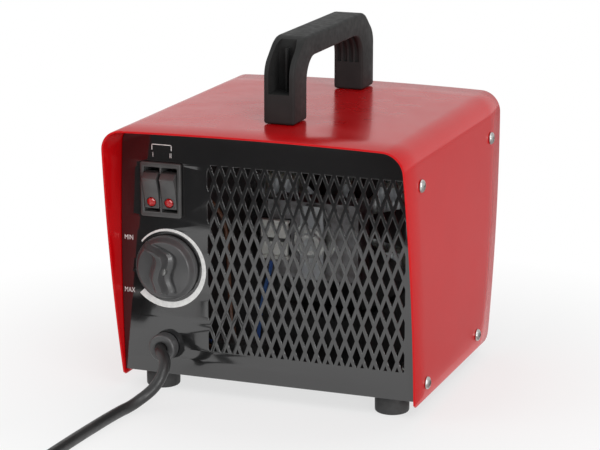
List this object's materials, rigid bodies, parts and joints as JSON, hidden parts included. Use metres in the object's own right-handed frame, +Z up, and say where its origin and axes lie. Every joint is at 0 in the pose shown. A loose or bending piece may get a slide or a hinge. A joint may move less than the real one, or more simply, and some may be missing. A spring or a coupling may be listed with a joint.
{
  "type": "ceramic fan heater",
  "caption": "Portable ceramic fan heater: a folded steel hood over a black chassis, with stretched-mesh inlet, rocker switches, thermostat knob and carrying handle.",
  "frame": {"origin": "on the floor, under the middle of the hood", "axes": "+Z up, -Y out of the inlet panel with the controls, +Y the way the warm air leaves, +X to the right of someone facing the controls"},
  "size_m": [0.2694, 0.4206, 0.209],
  "materials": {
    "red_paint": "gloss",
    "black_paint": "gloss",
    "black_plastic": "matte",
    "dark_plastic": "satin",
    "red_lens": "gloss",
    "pale_insulator": "matte",
    "rubber": "matte",
    "steel": "satin",
    "zinc": "satin",
    "aluminium": "satin",
    "wire_insulation": "satin"
  },
  "bodies": {
    "casing": {"base_pan": "zinc", "ceramic_heater": "aluminium", "cord_coil": "rubber", "cord_gland": "rubber", "cord_tail": "rubber", "earth_screw": "steel", "fan_shroud": "black_plastic", "foot_front_left": "rubber", "foot_front_right": "rubber", "foot_rear_left": "rubber", "foot_rear_right": "rubber", "foot_screw_front_left": "steel", "foot_screw_front_right": "steel", "foot_screw_rear_left": "steel", "foot_screw_rear_right": "steel", "handle": "black_plastic", "handle_screw_front": "steel", "handle_screw_rear": "steel", "heater_frame": "black_plastic", "hood": "red_paint", "inlet_panel": "black_paint", "mains_cord": "rubber", "motor_bridge_front": "zinc", "motor_bridge_rear": "zinc", "motor_coil": "pale_insulator", "motor_core": "zinc", "outlet_panel": "black_paint", "plug_body": "black_plastic", "plug_pin_left": "steel", "plug_pin_right": "steel", "screw_left_front_lower": "steel", "screw_left_front_upper": "steel", "screw_left_rear_lower": "steel", "screw_left_rear_upper": "steel", "screw_right_front_lower": "steel", "screw_right_front_upper": "steel", "screw_right_rear_lower": "steel", "screw_right_rear_upper": "steel", "switch_housing": "dark_plastic", "terminal_block": "pale_insulator", "thermal_cutout": "pale_insulator", "thermostat": "pale_insulator", "wire_heater": "wire_insulation", "wire_motor": "wire_insulation", "wire_supply": "wire_insulation", "wire_switch": "wire_insulation"},
    "thermostat_knob": {"knob": "dark_plastic", "thermostat_spindle": "steel"},
    "left_rocker": {"rocker_left": "dark_plastic", "lens_left": "red_lens"},
    "right_rocker": {"rocker_right": "dark_plastic", "lens_right": "red_lens"},
    "fan_rotor": {"motor_rotor": "steel", "fan": "black_plastic"}
  },
  "joints": [
    {"name": "knob_turn", "type": "hinge", "parent": "casing", "child": "thermostat_knob", "pos_m": [-0.0605, -0.077, 0.0762], "axis": [0, 1, 0], "range_deg": [-25, 235]},
    {"name": "left_rocker_press", "type": "hinge", "parent": "casing", "child": "left_rocker", "pos_m": [-0.06915, -0.0659, 0.1218], "axis": [-1, 0, 0], "range_deg": [0, 26]},
    {"name": "right_rocker_press", "type": "hinge", "parent": "casing", "child": "right_rocker", "pos_m": [-0.05825, -0.0659, 0.1218], "axis": [-1, 0, 0], "range_deg": [0, 26]},
    {"name": "fan_spin", "type": "hinge", "parent": "casing", "child": "fan_rotor", "pos_m": [0.012, 0.01, 0.0866], "axis": [0, 1, 0], "continuous": true}
  ]
}
